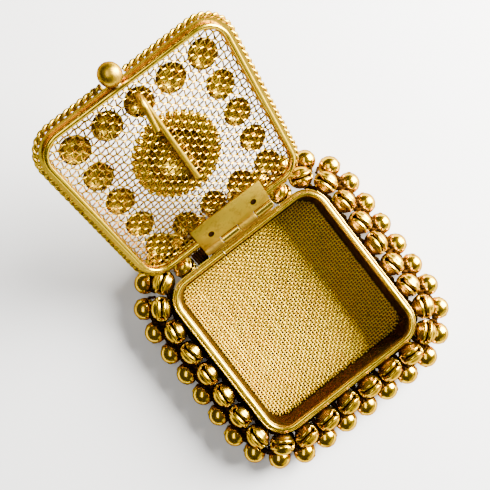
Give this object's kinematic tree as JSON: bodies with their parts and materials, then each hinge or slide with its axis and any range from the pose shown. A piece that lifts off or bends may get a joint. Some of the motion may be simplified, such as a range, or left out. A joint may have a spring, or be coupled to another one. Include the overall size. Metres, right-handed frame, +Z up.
{
  "type": "trinket box",
  "caption": "Square brass trinket box with a mesh floor, a hinged mesh lid with domed bosses and a ball knob, and two rows of small bells round its sides.",
  "frame": {"origin": "on the surface the box stands on, under the middle of the square box", "axes": "+X along the hinge, +Y from the front of the box to its hinge side, +Z up"},
  "size_m": [0.0856, 0.1233, 0.0612],
  "materials": {
    "brass_sheet": "brushed, lightly tarnished",
    "brass_mesh": "woven wire, dull",
    "brass_bright": "polished",
    "brass_bell": "polished plating",
    "brass_leaf": "satin, brushed"
  },
  "bodies": {
    "box": {"bottom_plate": "brass_sheet", "floor_mesh": "brass_mesh", "box_wall": "brass_sheet", "rim_ledge": "brass_sheet", "rim_wire": "brass_bright", "upper_bells_front": "brass_bell", "upper_bells_right": "brass_bell", "upper_bells_left": "brass_bell", "upper_bells_rear_right": "brass_bell", "upper_bells_rear_left": "brass_bell", "lower_bells_front": "brass_bell", "lower_bells_right": "brass_bell", "lower_bells_rear": "brass_bell", "lower_bells_left": "brass_bell", "wall_binding": "brass_bell", "box_hinge_leaf": "brass_leaf", "hinge_pin": "brass_leaf"},
    "lid": {"lid_hinge_leaf": "brass_leaf", "lid_frame_wire": "brass_bright", "lid_ledge": "brass_sheet", "lid_mesh": "brass_mesh", "rope_border": "brass_bright", "centre_dome": "brass_sheet", "petal_collar": "brass_sheet", "cup_boss_01": "brass_sheet", "cup_boss_02": "brass_sheet", "cup_boss_03": "brass_sheet", "cup_boss_04": "brass_sheet", "cup_boss_05": "brass_sheet", "cup_boss_06": "brass_sheet", "cup_boss_07": "brass_sheet", "cup_boss_08": "brass_sheet", "cup_boss_09": "brass_sheet", "cup_boss_10": "brass_sheet", "cup_boss_11": "brass_sheet", "cup_boss_12": "brass_sheet", "cup_boss_13": "brass_sheet", "cup_boss_14": "brass_sheet", "cup_boss_15": "brass_sheet", "cup_boss_16": "brass_sheet", "knob_ball": "brass_bright", "inner_clip": "brass_bright", "clip_bead": "brass_bright"}
  },
  "joints": [
    {"name": "lid_hinge", "type": "hinge", "parent": "box", "child": "lid", "pos_m": [0, 0.03085, 0.0163], "axis": [1, 0, 0], "range_deg": [0, 136.9]}
  ]
}
